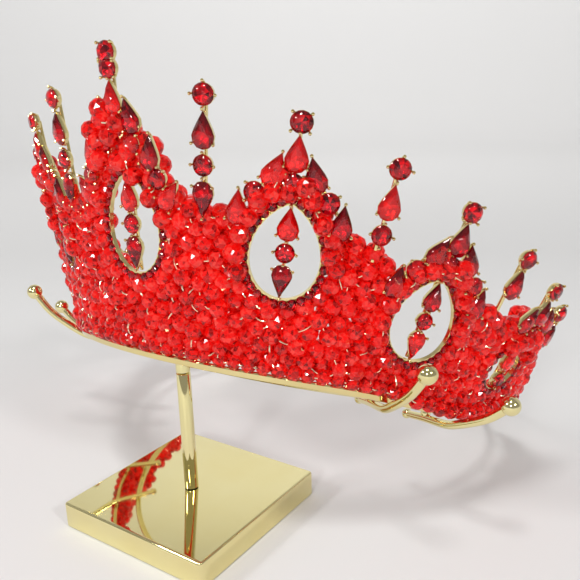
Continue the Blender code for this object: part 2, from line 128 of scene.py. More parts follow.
def new_material(name, **uniform):
    """A Principled material, its shader, and a Shade to hang its nodes on."""
    made = bpy.data.materials.new(name)
    made.use_nodes = True
    shader = made.node_tree.nodes["Principled BSDF"]
    for key, value in uniform.items():
        shader.inputs[key.replace("_", " ")].default_value = value
    return made, shader, Shade(made.node_tree)


def feed(shader, **links):
    for key, value in links.items():
        shader.id_data.links.new(value.socket, shader.inputs[key.replace("_", " ")])


def gold_plate(name, light, deep, haze, wave_size, wave_height):
    """Bright plating: a colour that drifts a little, faint haze and shallow polishing waves."""
    made, shader, base = new_material(name, Metallic=1.0)
    place = base.node("ShaderNodeTexCoord", output=3)
    drift = base.node("ShaderNodeTexNoise", {}, {"Vector": place, "Scale": 60.0, "Detail": 3.0})
    smear = base.node("ShaderNodeTexNoise", {}, {"Vector": place, "Scale": 210.0, "Detail": 4.0})
    waves = base.node("ShaderNodeTexNoise", {}, {"Vector": place, "Scale": wave_size, "Detail": 1.0})
    bump = base.node("ShaderNodeBump", {}, {"Height": waves, "Distance": wave_height, "Strength": 1.0})
    color = (drift * 1.2 - 0.1).mix_to(light, deep)
    feed(shader, Base_Color=color, Roughness=smear * haze + haze * 0.5, Normal=bump)
    return made


class Heap:
    """Points and faces of one piece, gathered from many copies of small shapes."""

    def __init__(self):
        self.points = []
        self.faces = []
        self.slots = []
        self.shades = []
        self.count = 0

    def add(self, points, faces, slot=0, shade=0.5):
        points = np.asarray(points, float)
        self.points.append(points)
        self.faces += [tuple(corner + self.count for corner in face) for face in faces]
        self.slots += [slot] * len(faces)
        self.shades += [float(value) for value in np.broadcast_to(shade, len(faces))]
        self.count += len(points)

    def piece(self, name, materials, smooth_angle=None, slot=None, node=()):
        """Make the object, let it ride, and hide the solids it stands for."""
        mesh = bpy.data.meshes.new(name)
        mesh.from_pydata(np.concatenate(self.points).tolist(), [], self.faces)
        for made in materials:
            mesh.materials.append(made)
        mesh.polygons.foreach_set("material_index", self.slots)
        tint = mesh.attributes.new("tint", "FLOAT", "FACE")
        tint.data.foreach_set("value", self.shades)
        if smooth_angle:
            mesh.shade_smooth()
            mesh.set_sharp_from_angle(angle=math.radians(smooth_angle))
        mesh.update()
        made = bpy.data.objects.new(name, mesh)
        bpy.context.scene.collection.objects.link(made)
        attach(made, "root")
        if node:
            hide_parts(*node)
        return made


def joined_rows(rows, sides):
    """Faces of a solid whose points lie in rows of equal number, with a flat face at each end."""
    faces = [tuple(reversed(range(sides)))]
    for row in range(rows - 1):
        low = row * sides
        for side in range(sides):
            after = (side + 1) % sides
            faces.append((low + side, low + after, low + sides + after, low + sides + side))
    faces.append(tuple(range((rows - 1) * sides, rows * sides)))
    return faces


def rounded_slab(low, high, edge, steps=5):
    """A box with round edges: a square outline with round corners, swept through a round profile."""
    middle = [(a + b) / 2 for a, b in zip(low, high)]
    half_x = (high[0] - low[0]) / 2
    half_y = (high[1] - low[1]) / 2
    corner = 1.6 * edge
    levels = []
    for index in range(steps + 1):
        turn = math.pi / 2 * index / steps
        levels.append((edge * (1 - math.sin(turn)), low[2] + edge * (1 - math.cos(turn))))
    levels += [(inset, low[2] + high[2] - height) for inset, height in reversed(levels)]
    points = []
    for inset, height in levels:
        for quarter in range(4):
            for index in range(steps + 1):
                turn = math.pi / 2 * (quarter + index / steps)
                sign_x = 1 if quarter in (0, 3) else -1
                sign_y = 1 if quarter in (0, 1) else -1
                x = sign_x * (half_x - corner) + (corner - inset) * math.cos(turn)
                y = sign_y * (half_y - corner) + (corner - inset) * math.sin(turn)
                points.append((middle[0] + x, middle[1] + y, height))
    return points, joined_rows(len(levels), 4 * (steps + 1))


stand_gold = gold_plate("polished_stand_gold", PALE_GOLD, WARM_GOLD, 0.05, 26.0, 0.00003)
slab = Heap()
slab.add(*rounded_slab(BASE_LOW, BASE_HIGH, BASE_SOFT_EDGE))
slab.piece("base_slab", [stand_gold], SOFT_ANGLE, "stand_gold", ["stand_base"])

# Post
# A straight round rod that stands in the middle of the base, with a fine joint line where the cap of the ring
# sits on it.
POST_LOW, POST_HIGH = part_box("stand_post")
POST_RADIUS = (POST_HIGH.x - POST_LOW.x) / 2
POST_SIDES = 48


def turned(profile, sides):
    """A solid turned about the vertical through (radius, height) points, from bottom to top."""
    points = []
    for radius, height in profile:
        for side in range(sides):
            turn = 2 * math.pi * side / sides
            points.append((radius * math.cos(turn), radius * math.sin(turn), height))
    return points, joined_rows(len(profile), sides)


post = Heap()
groove = 0.06 * POST_RADIUS
post.add(*turned([
    (POST_RADIUS, POST_LOW.z),
    (POST_RADIUS, POST_HIGH.z - 2 * groove),
    (POST_RADIUS - 0.5 * groove, POST_HIGH.z - groove),
    (POST_RADIUS - 2 * groove, POST_HIGH.z),
], POST_SIDES))
post.piece("round_post", [stand_gold], SOFT_ANGLE, "stand_gold", ["stand_post"])

# Ring with arms
# A ring of round rod tilted back on the post's cap. Four rods are soldered under it; each starts
# in a small bulb inside the ring, passes under the tiara's band and rises to a gold ball outside it.
TILT = math.radians(20.0)
RING_RADIUS = 0.0676
RING_ROD = 0.0024
ROD_ANGLE = 40
ARM_ROD = 0.0022
ARM_BALL = 0.0052
ARM_BULB = 0.0030
CAP_HEIGHT = 0.0034
FIT_GAP = 0.0003
RING_HEIGHT = POST_HIGH.z + FIT_GAP + CAP_HEIGHT


def from_tilted(points):
    """Places in the ring's tilted plane, whose origin is the front of the ring, as world places."""
    points = np.asarray(points, float)
    y = points[:, 1] * math.cos(TILT) + points[:, 2] * math.sin(TILT)
    z = -points[:, 1] * math.sin(TILT) + points[:, 2] * math.cos(TILT) + RING_HEIGHT
    return np.stack([points[:, 0], y, z], 1)


def smooth_route(route, count):
    """A smooth curve through a route's points, read at even steps."""
    route = np.asarray(route, float)
    padded = np.vstack([2 * route[0] - route[1], route, 2 * route[-1] - route[-2]])
    places = []
    for step in np.linspace(0, len(route) - 1, count):
        index = min(int(step), len(route) - 2)
        t = step - index
        a, b, c, d = padded[index:index + 4]
        places.append(0.5 * (2 * b + (c - a) * t + (2 * a - 5 * b + 4 * c - d) * t * t
                             + (3 * b - a - 3 * c + d) * t ** 3))
    return np.array(places)


def rod(path, radius, sides, closed=False):
    """A round rod along a path; radius may be one number or one for each point."""
    path = np.asarray(path, float)
    count = len(path)
    radii = np.broadcast_to(radius, count)
    if closed:
        along = np.roll(path, -1, 0) - np.roll(path, 1, 0)
    else:
        along = np.gradient(path, axis=0)
    along /= np.linalg.norm(along, axis=1)[:, None]
    across = np.cross(along[0], (0.31, 0.2, 0.93))
    points = []
    for index in range(count):
        across = across - along[index] * across.dot(along[index])
        across /= np.linalg.norm(across)
        up = np.cross(along[index], across)
        for side in range(sides):
            turn = 2 * math.pi * side / sides
            points.append(path[index] + radii[index] * (across * math.cos(turn) + up * math.sin(turn)))
    faces = joined_rows(count, sides)
    if closed:
        last = (count - 1) * sides
        shift = int(np.argmin(np.linalg.norm(np.array(points[:sides]) - points[last], axis=1)))
        faces = faces[1:-1]
        for side in range(sides):
            after = (side + 1) % sides
            faces.append((last + side, last + after, (after + shift) % sides, (side + shift) % sides))
    return points, faces


def ball(centre, radius, sides, levels):
    """A round ball of rows of points between its lowest and its highest."""
    points = [tuple(centre + np.array((0, 0, -radius)))]
    for level in range(1, levels):
        rise = math.pi * level / levels - math.pi / 2
        flat = radius * math.cos(rise)
        for side in range(sides):
            turn = 2 * math.pi * side / sides
            place = np.array((flat * math.cos(turn), flat * math.sin(turn), radius * math.sin(rise)))
            points.append(tuple(centre + place))
    points.append(tuple(centre + np.array((0, 0, radius))))
    faces = []
    for side in range(sides):
        after = (side + 1) % sides
        faces.append((0, 1 + after, 1 + side))
        for level in range(levels - 2):
            low = 1 + level * sides
            faces.append((low + side, low + after, low + sides + after, low + sides + side))
        low = 1 + (levels - 2) * sides
        faces.append((low + side, low + after, len(points) - 1))
    return points, faces


# Wall of the tiara
# The band, beads and stones all lie on one leaning wall that follows the oval rim. A place on it is
# an arc along the rim from the front, a height up the slope and a depth outward.
RIM_HALF_WIDTH = 0.0769
RIM_DEPTH = 0.0857
LEAN = math.radians(22.0)
RING_INSET = 0.0158
RING_DROP = 0.0026
RIM_SAG = 0.0025
SAG_ANGLE = 65.0
SAG_SPREAD = 14.0
END_PULL = 0.0120
END_FROM = 80.0
END_SPAN = 35.0
TOP_HEIGHT = 0.0776
STATION = 0.0181
RIM_TURNS = np.radians(np.linspace(0, 150, 1501))
RIM_PACE = np.hypot(RIM_HALF_WIDTH * np.cos(RIM_TURNS), RIM_DEPTH * np.sin(RIM_TURNS))
RIM_ARCS = np.concatenate([[0], np.cumsum((RIM_PACE[1:] + RIM_PACE[:-1]) / 2 * np.diff(RIM_TURNS))])


def on_wall(arc, height, out):
    """World places on the wall, from arrays or numbers."""
    arc, height, out = np.broadcast_arrays(*(np.asarray(value, float) for value in (arc, height, out)))
    angle = np.sign(arc) * np.interp(np.abs(arc), RIM_ARCS, RIM_TURNS)
    across = np.sin(angle) / RIM_HALF_WIDTH
    forward = -np.cos(angle) / RIM_DEPTH
    size = np.hypot(across, forward)
    turned_in = END_PULL * np.clip((np.abs(np.degrees(angle)) - END_FROM) / END_SPAN, 0, None) ** 2
    reach = height * math.sin(LEAN) + out * math.cos(LEAN) - turned_in
    x = RIM_HALF_WIDTH * np.sin(angle) + reach * across / size
    y = -RIM_DEPTH * np.cos(angle) + reach * forward / size + RIM_DEPTH - RING_INSET
    sag = RIM_SAG * np.exp(-((np.abs(np.degrees(angle)) - SAG_ANGLE) / SAG_SPREAD) ** 2)
    z = height * math.cos(LEAN) - out * math.sin(LEAN) - sag + RING_DROP
    return from_tilted(np.stack([x.ravel(), y.ravel(), z.ravel()], 1))


def stretch(height):
    """How much longer the wall is at a height than along its rim."""
    return 1 + height * math.sin(LEAN) / ((RIM_HALF_WIDTH + RIM_DEPTH) / 2)


def bent(points, arc, height):
    """Lay a flat shape, with x along, y up and z outward, on the wall."""
    points = np.asarray(points, float)
    return on_wall(arc + points[:, 0] / stretch(height), height + points[:, 1], points[:, 2])


# Ring and arms, made
# The fine rods follow the same plane as the solids and pass under the band by the same clearance.
BAND_HEIGHT = 0.0020
BAND_THICKNESS = 0.0014
ARM_REACH = 0.0245
ARM_SETTLE = 0.0035
ARM_ROOM = 0.0008
ARM_RISE = 0.0125
ARM_TAIL = 0.0078
ARMS = (
    {"angle": 48.5, "room": 1.0, "rise": 1.0},
    {"angle": 64.8, "room": 2.5, "rise": 0.8},
)
ARM_CURVE = ((0.00, 0.00), (0.18, 0.02), (0.41, 0.20), (0.70, 0.48), (0.86, 0.74), (1.00, 1.00))
ARM_SMOOTHING = 8
COLLAR_SHARES = (0.56, 0.66, 0.70)
JOINT_SHARES = (0.30, 0.52, 0.62, 0.66, 0.40)


def tilted_wall_foot(arc):
    """Middle of the band's lower edge in the ring's tilted plane."""
    world = on_wall(arc, -BAND_HEIGHT, -0.2 * BAND_THICKNESS)[0]
    y = world[1] * math.cos(TILT) - (world[2] - RING_HEIGHT) * math.sin(TILT)
    z = world[1] * math.sin(TILT) + (world[2] - RING_HEIGHT) * math.cos(TILT)
    return np.array((world[0], y, z))


def arm_route(arm):
    """An arm's route as (distance from the ring's middle, height) in the tilted plane."""
    turn = math.radians(arm["angle"])
    feet = [tilted_wall_foot(arc * STATION / 20) for arc in range(20, 150)]
    best = min(feet, key=lambda foot: abs(math.atan2(foot[0], RING_RADIUS - foot[1]) - turn))
    start = math.hypot(best[0], RING_RADIUS - best[1]) - ARM_SETTLE
    low = best[2] - arm["room"] * ARM_ROOM - ARM_ROD / 2
    rise = arm["rise"] * ARM_RISE
    weld = min(-(RING_ROD + ARM_ROD) / 2 + 0.25 * ARM_ROD, low)
    route = [
        (RING_RADIUS - ARM_TAIL, weld - 0.2 * ARM_ROD),
        (RING_RADIUS - 0.45 * ARM_TAIL, weld - 0.1 * ARM_ROD),
        (RING_RADIUS, weld),
    ]
    return route + [(start + share * ARM_REACH, low + climb * rise) for share, climb in ARM_CURVE]


ring = Heap()
turns = np.linspace(0, 2 * math.pi, 128, endpoint=False)
circle = np.stack([RING_RADIUS * np.sin(turns), RING_RADIUS * (1 - np.cos(turns)), 0 * turns], 1)
ring.add(*rod(from_tilted(circle), RING_ROD / 2, 16, closed=True))
for side in (-1, 1):
    for arm in ARMS:
        turn = math.radians(arm["angle"])
        route = arm_route(arm)
        flat = smooth_route(route, 48)
        for times in range(ARM_SMOOTHING):
            flat[1:-1] = (flat[:-2] + 2 * flat[1:-1] + flat[2:]) / 4
        path = from_tilted(np.stack([side * flat[:, 0] * math.sin(turn),
                                     RING_RADIUS - flat[:, 0] * math.cos(turn), flat[:, 1]], 1))
        ring.add(*rod(path, np.linspace(0.50, 0.62, len(path)) * ARM_ROD, 16))
        ring.add(*ball(path[0], ARM_BULB / 2, 20, 10))
        ring.add(*ball(path[-1], ARM_BALL / 2, 32, 16))
        ring.add(*rod(path[-4:-1], ARM_ROD * np.array(COLLAR_SHARES), 16))
        place = (side * RING_RADIUS * math.sin(turn), RING_RADIUS * (1 - math.cos(turn)))
        joint = from_tilted([(*place, height) for height in np.linspace(0, route[2][1], len(JOINT_SHARES))])
        ring.add(*rod(joint, ARM_ROD * np.array(JOINT_SHARES), 16))
cap_foot = POST_HIGH.z + FIT_GAP
cap_bulge = 0.35 * POST_RADIUS
ring.add(*turned([
    (POST_RADIUS - 2 * groove, cap_foot),
    (POST_RADIUS, cap_foot + groove),
    (POST_RADIUS, RING_HEIGHT - 0.1 * POST_RADIUS),
    (0.92 * POST_RADIUS, RING_HEIGHT + 0.4 * cap_bulge),
    (0.70 * POST_RADIUS, RING_HEIGHT + 1.0 * cap_bulge),
    (0.35 * POST_RADIUS, RING_HEIGHT + 1.4 * cap_bulge),
], POST_SIDES))
ring.piece("ring_and_arms", [stand_gold], ROD_ANGLE, "stand_gold", ["stand_ring"])

# Band
# A flat strip of plated metal bent along the rim; the beads are wired to it and hang just over it.
BAND_END = 8.6
BAND_STEPS = 220
BRIGHT_GOLD = (0.88, 0.76, 0.40, 1.0)
DEEP_GOLD = (0.78, 0.62, 0.26, 1.0)
tiara_gold = gold_plate("bright_tiara_gold", BRIGHT_GOLD, DEEP_GOLD, 0.12, 300.0, 0.00002)


def strip(arcs, section):
    """A strip along the wall with a closed section of (height, depth) points."""
    heights, depths = zip(*section)
    points = np.concatenate([on_wall(arc, heights, depths) for arc in arcs])
    return points, joined_rows(len(arcs), len(section))


band_front = 0.3 * BAND_THICKNESS
band_back = band_front - BAND_THICKNESS
soft = 0.2 * BAND_THICKNESS
band_section = (
    (-BAND_HEIGHT, band_back + soft), (-BAND_HEIGHT, band_front - soft),
    (soft - BAND_HEIGHT, band_front), (-soft, band_front),
    (0.0, band_front - soft), (0.0, band_back + soft),
    (-soft, band_back), (soft - BAND_HEIGHT, band_back),
)
band = Heap()
band.add(*strip(np.linspace(-BAND_END, BAND_END, BAND_STEPS) * STATION, band_section))
band.piece("flat_band", [tiara_gold], ROD_ANGLE, "tiara_gold", ["tiara_band"])

# Openings
# Seven pointed openings are cut through the beads. Each is edged by a thin gold hoop with a row of
# small round stones in cups, soldered cup to cup.
MOTIFS = (
    {"name": "centre", "side": 0, "station": 0.00, "crest": 0.950, "top": 0.620, "foot": 0.284, "wide": 1.0},
    {"name": "2", "side": 1, "station": 2.02, "crest": 0.834, "top": 0.582, "foot": 0.272, "wide": 1.0},
    {"name": "4", "side": 1, "station": 3.95, "crest": 0.684, "top": 0.440, "foot": 0.145, "wide": 1.0},
    {"name": "6", "side": 1, "station": 5.90, "crest": 0.503, "top": 0.262, "foot": 0.078, "wide": 0.8},
)
OPENING_HALF_WIDTH = 0.0092
OPENING_POINT = 0.72
RIM_WIDTH = 0.0020
WALL_FRONT = -0.0003
ALL_MOTIFS = []
for motif in MOTIFS:
    for sign in (0,) if motif["side"] == 0 else (-1, 1):
        label = motif["name"] if sign == 0 else ("left_", "right_")[sign > 0] + motif["name"]
        ALL_MOTIFS.append(dict(motif, label=label, arc=sign * motif["station"] * STATION,
                               drop=(motif["top"] - motif["foot"]) * TOP_HEIGHT))


def half_width(motif, share):
    """Half an opening's width at a share of its drop: none at both ends, and full at its belly."""
    belly = OPENING_POINT / (OPENING_POINT + 0.5)
    widest = belly ** OPENING_POINT * (1 - belly) ** 0.5
    return OPENING_HALF_WIDTH * motif["wide"] * share ** OPENING_POINT * (1 - share) ** 0.5 / widest


def even_steps(line, count):
    """Points at even steps along a closed line, and the line's length."""
    closed = np.vstack([line, line[:1]])
    lengths = np.concatenate([[0], np.cumsum(np.linalg.norm(np.diff(closed, axis=0), axis=1))])
    even = np.linspace(0, lengths[-1], count, endpoint=False)
    return np.stack([np.interp(even, lengths, closed[:, axis]) for axis in (0, 1)], 1), lengths[-1]


def opening_outline(motif, grow, count):
    """Points of an opening's outline, grown by a margin, and its length; its point is at y = 0."""
    share = (1 - np.cos(np.pi * np.linspace(0, 1, 60))) / 2
    width = half_width(motif, share)
    line = np.stack([np.concatenate([width, -width[-2:0:-1]]),
                     -motif["drop"] * np.concatenate([share, share[-2:0:-1]])], 1)
    along = np.roll(line, -1, 0) - np.roll(line, 1, 0)
    along /= np.linalg.norm(along, axis=1)[:, None]
    return even_steps(line + grow * np.stack([-along[:, 1], along[:, 0]], 1), count)


def cut_stone_material(name, dark, light):
    """Clear crystal over red foil; each facet of the foil throws back its own depth of red, and the foil also
    glows with that red, a painted glow.
    """
    crown, shader = new_material(name + "_crown", Roughness=0.01, IOR=1.5, Transmission_Weight=1.0)[:2]
    shader.inputs["Base Color"].default_value = (1.0, 0.40, 0.38, 1.0)
    shader.inputs["Specular IOR Level"].default_value = 0.12
    back, shader, base = new_material(name + "_foil", Metallic=1.0, Roughness=0.22)
    tint = base.node("ShaderNodeAttribute", {"attribute_name": "tint"}, {}, 2)
    color = tint.mix_to(dark, light)
    # The foil's red feeds its emission too: a painted glow, since the foil is no lamp.
    feed(shader, Base_Color=color, Emission_Color=color)
    shader.inputs["Emission Strength"].default_value = 0.40
    return [crown, back]


DEEP_REDS = ((0.04, 0.0, 0.006, 1.0), (0.80, 0.004, 0.02, 1.0))
BRIGHT_REDS = ((0.35, 0.002, 0.006, 1.0), (1.0, 0.03, 0.025, 1.0))
deep_stone = cut_stone_material("deep_red_stone", *DEEP_REDS)
bright_stone = cut_stone_material("bright_red_stone", *BRIGHT_REDS)
chance = np.random.default_rng(11)


def round_line(radius, count):
    """A round outline, from its highest point on."""
    turn = 2 * np.pi * np.arange(count) / count
    return np.stack([radius * np.sin(turn), radius * np.cos(turn)], 1)


def pear_line(width, length, count):
    """A drop's outline at even steps, its point up, centred on its length, from the point on."""
    radius = width / 2
    foot = -length / 2 + radius
    rise = length / 2 - foot
    half = math.acos(radius / rise)
    start = math.pi / 2 - half
    turn = np.linspace(start, -math.pi / 2, 40)
    arc = np.stack([radius * np.cos(turn), foot + radius * np.sin(turn)], 1)
    share = np.linspace(0, 1, 30)[:, None]
    straight = np.array([[0.0, length / 2]]) * (1 - share) + arc[:1] * share
    straight[:, 0] += 0.02 * radius * np.sin(np.pi * share[:, 0])
    right = np.vstack([straight[:-1], arc])
    line = np.vstack([right, np.stack([-right[-2:0:-1, 0], right[-2:0:-1, 1]], 1)])
    return even_steps(line, count)[0]


def cut_stone(line, low, crown, pavilion):
    """A brilliant cut on an outline of an even number of points: table, star, kite and girdle facets.

    Gives the points, the crown's faces and the foiled faces below the girdle.
    """
    count = len(line)
    half = count // 2
    centre = line.mean(0)
    ahead = np.roll(line, -1, 0)

    def ring_of(flat, share, height):
        flat = centre + (flat - centre) * share
        return np.column_stack([flat, np.full(len(flat), height)])

    girdle = ring_of(line, 1.0, low)
    table = ring_of(line[0::2], 0.56, low + crown)
    kites = ring_of(ahead[0::2], 0.83, low + 0.60 * crown)
    waist = ring_of(line[1::2], 0.50, low - 0.55 * pavilion)
    culet = np.array([[centre[0], centre[1], low - pavilion]])
    points = np.vstack([girdle, table, kites, waist, culet])
    t, k, w, c = count, count + half, count + 2 * half, count + 3 * half
    crown_faces = [tuple(t + index for index in reversed(range(half)))]
    foil_faces = []
    for index in range(half):
        after = (index + 1) % half
        even, odd, following = 2 * index, 2 * index + 1, (2 * index + 2) % count
        crown_faces.append((t + index, t + after, k + index))
        crown_faces.append((t + index, k + index, even, k + (index - 1) % half))
        crown_faces.append((k + index, odd, even))
        crown_faces.append((k + index, following, odd))
        foil_faces.append((even, odd, w + index))
        foil_faces.append((odd, following, w + index))
        foil_faces.append((following, w + after, w + index))
        foil_faces.append((w + index, w + after, c))
    return points, crown_faces, foil_faces


def foil_reds_and_painted_light(kind, points, foil, length):
    """Depth of red of each foiled facet, partly random and partly painted light and shade: a drop is painted
    brighter at its round end, a round one varies at random.

    The two facets of each four that lie along the girdle are darker, a painted shade as at the rim of a real
    stone.
    """
    middles = np.array([points[list(face)].mean(0) for face in foil])
    noise = chance.random(len(foil))
    # Painted shade: the two facets along the girdle are darkened.
    rim = np.where(np.arange(len(foil)) % 4 < 2, 0.45, 1.0)
    if kind == "R":
        return rim ** 0.5 * noise
    # Painted light: a drop's facets towards its round end are brightened.
    low = np.clip((0.06 - middles[:, 1] / length) / 0.30, 0, 1)
    return np.clip(rim * (0.06 + 0.80 * low * (0.45 + 0.55 * noise) + 0.25 * noise), 0, 1)


def turn_flat(points, lean, centre):
    """Turn flat points by a lean in degrees, clockwise, and move them to a centre."""
    turn = math.radians(-lean)
    points = np.array(points, float)
    x = points[:, 0] * math.cos(turn) - points[:, 1] * math.sin(turn) + centre[0]
    y = points[:, 0] * math.sin(turn) + points[:, 1] * math.cos(turn) + centre[1]
    points[:, 0], points[:, 1] = x, y
    return points


def cup(line, back, lip):
    """A stone's metal cup on an outline: a flat back and a flared wall that stops under the girdle."""
    count = len(line)
    centre = line.mean(0)
    levels = ((0.80, back - 0.0002), (0.95, back + 0.20 * (lip - back)), (1.02, lip - 0.15 * (lip - back)),
              (1.01, lip), (0.95, lip), (0.62, back + 0.00012))
    points = []
    for share, height in levels:
        flat = centre + (line - centre) * share
        points.append(np.column_stack([flat, np.full(count, height)]))
    return np.vstack(points), [face[::-1] for face in joined_rows(len(levels), count)]


CHAIN_STONE = 0.0026
CHAIN_STEP = 0.0026
CHAIN_SHIFT = 0.0014
HOOP_THICKNESS = 0.0003
HOOP_DEPTH = 0.0012
HOOP_FLANGE = 0.0003
HOOP_STEPS = 120
HOOP_FRONT = WALL_FRONT - 0.0002
CHAIN_CROWN = 0.0007
CHAIN_FOIL = 0.0008
CHAIN_CUP = 0.0011
CHAIN_LIP = 0.0001
for motif in ALL_MOTIFS:
    top = motif["top"] * TOP_HEIGHT
    hoop = Heap()
    flange = HOOP_FLANGE - HOOP_DEPTH
    section = ((0.0, -HOOP_DEPTH), (RIM_WIDTH, -HOOP_DEPTH), (RIM_WIDTH, flange), (HOOP_THICKNESS, flange),
               (HOOP_THICKNESS, 0.0), (0.0, 0.0))
    rows = []
    for grow, depth in section:
        line = opening_outline(motif, grow, HOOP_STEPS)[0]
        rows.append(np.column_stack([line, np.full(HOOP_STEPS, HOOP_FRONT + depth)]))
    faces = []
    for index in range(HOOP_STEPS):
        after = (index + 1) % HOOP_STEPS
        for side in range(len(section)):
            low = side * HOOP_STEPS
            high = (side + 1) % len(section) * HOOP_STEPS
            faces.append((low + index, low + after, high + after, high + index))
    hoop.add(bent(np.vstack(rows), motif["arc"], top), faces)
    length = opening_outline(motif, CHAIN_SHIFT, 400)[1]
    count = int(round(length / CHAIN_STEP))
    stones = Heap()
    for place in opening_outline(motif, CHAIN_SHIFT, count)[0]:
        line = round_line(CHAIN_STONE / 2, 12)
        points, crown, foil = cut_stone(line, HOOP_FRONT, CHAIN_CROWN, CHAIN_FOIL)
        points = turn_flat(points, 360 * chance.random(), place)
        stones.add(bent(points, motif["arc"], top), crown, 1)
        stones.add(bent(points, motif["arc"], top), foil, 2, chance.random(len(foil)) ** 2)
        points, faces = cup(line, HOOP_FRONT - CHAIN_CUP, HOOP_FRONT - CHAIN_LIP)
        stones.add(bent(turn_flat(points, 0, place), motif["arc"], top), faces, 0)
    label = motif["label"]
    hoop.piece("hoop_" + label, [tiara_gold], ROD_ANGLE, "tiara_gold", ["opening_rim_" + label])
    stones.piece("stone_row_" + label, [tiara_gold] + deep_stone, None, "set_stones")

# Set stones
# Round and drop-shaped cut stones in gold cups with ball-tipped prongs, joined by short metal links.
# They stand in crests over the openings, in free spikes between them, and hang in the openings.
ROUND_STONE = 0.0054
PEAR_WIDTH = 0.0059
PEAR_LENGTH = 0.0086
STONE_STEP = 0.0072
SPIKE_STEP = 0.0081
STRAND_STEP = 0.0075
SETTING_DEPTH = 0.0016
CROWN_HEIGHT = 0.0012
STONE_BACK = WALL_FRONT + FIT_GAP
PRONG = 0.00046
DROP_REACH = 0.93
STONE_ANGLE = 28
# A prong's route: distance from the stone's middle as a share of its outline, and height from its girdle.
PRONG_ROUTE = ((0.90, -0.00112), (1.05, -0.0007), (1.15, -0.0002), (1.17, 0.0003))
FLANKS = {
    "centre": (("P", 0.72, 1.57, 14.0), ("R", 0.70, 2.50, 0.0), ("P", 1.47, 2.74, -6.0),
               ("R", 1.75, 3.62, 0.0), ("P", 2.20, 4.14, -38.0)),
    "2": (("P", 0.66, 1.60, 18.0), ("R", 1.28, 2.40, 0.0), ("P", 1.84, 2.98, 2.0)),
    "6": (("P", 0.80, 1.30, 20.0),),
}
FLANKS["4"] = FLANKS["2"]


def set_stone(heap, kind, centre, lean, back, arc, height, bright, size=1.0, diagonal=False):
    """One stone in its cup with prongs, added to a heap whose materials are gold, crown and foil."""
    if kind == "R":
        line = round_line(0.485 * ROUND_STONE * size, 16)
        prong_places = line[(2, 6, 10, 14), :] if diagonal else line[(0, 4, 8, 12), :]
        reach = 1.0
    else:
        line = pear_line(0.97 * PEAR_WIDTH * size, 1.03 * PEAR_LENGTH * size, 14)
        prong_places = line[(0, 5, 9), :]
        reach = DROP_REACH
    girdle = back + SETTING_DEPTH
    first = 3 if bright else 1
    points, crown, foil = cut_stone(line, girdle, 0.92 * CROWN_HEIGHT, 0.75 * SETTING_DEPTH)
    shades = foil_reds_and_painted_light(kind, points, foil, PEAR_LENGTH * size)
    points = bent(turn_flat(points, lean, centre), arc, height)
    heap.add(points, crown, first)
    heap.add(points, foil, first + 1, shades)
    points, faces = cup(line, back, girdle - 0.0002)
    heap.add(bent(turn_flat(points, lean, centre), arc, height), faces)
    for place in prong_places:
        stem = [[*(place * share * reach), girdle + rise] for share, rise in PRONG_ROUTE]
        stem = bent(turn_flat(stem, lean, centre), arc, height)
        heap.add(*rod(smooth_route(stem, 7), PRONG * 0.60, 8))
        heap.add(*ball(stem[-1], PRONG * 0.95, 10, 6))


def link(heap, start, end, back, arc, height, width=0.0009, solder=True):
    """A metal bar behind two settings, with a round solder bead between them."""
    route = np.array([[*start, back - 0.40 * width], [*end, back - 0.40 * width]])
    share = np.linspace(0, 1, 7)[:, None]
    path = bent(route[0] * (1 - share) + route[1] * share, arc, height)
    heap.add(*rod(path, width / 2, 10))
    if solder:
        middle = bent([[*((np.array(start) + end) / 2), back + 0.3 * SETTING_DEPTH]], arc, height)[0]
        heap.add(*ball(middle, 0.60 * width, 12, 8))


SET_MATERIALS = [tiara_gold] + deep_stone + bright_stone
for motif in ALL_MOTIFS:
    crest = Heap()
    crown_height = motif["crest"] * TOP_HEIGHT
    arc = motif["arc"]
    top, pear, heart = (0.0, 0.0), (0.0, -STONE_STEP), (0.0, -1.97 * STONE_STEP)
    vivid = motif["name"] in ("centre", "2")
    stones = [("R", top, 0.0, False), ("P", pear, 0.0, vivid), ("R", heart, 0.0, False)]
    links = [(top, pear), (pear, heart)]
    if motif["side"] == 0:
        crown = (0.0, 0.52 * STONE_STEP)
        stones.append(("R", crown, 0.0, False))
        links.append((crown, top))
    for side in (-1, 1):
        before = pear
        for index, (kind, along, down, lean) in enumerate(FLANKS[motif["name"]]):
            place = (side * along * STONE_STEP, -down * STONE_STEP)
            bright = index == 4 or (vivid and side < 0 and index in (0, 2))
            stones.append((kind, place, side * -lean, bright))
            links.append((before, place))
            before = place
    for kind, place, lean, bright in stones:
        set_stone(crest, kind, place, lean, STONE_BACK, arc, crown_height, bright, diagonal=True)
    for start, end in links:
        link(crest, start, end, STONE_BACK, arc, crown_height)
    label = motif["label"]
    crest.piece("crest_stones_" + label, SET_MATERIALS, STONE_ANGLE, "set_stones", ["crest_" + label])

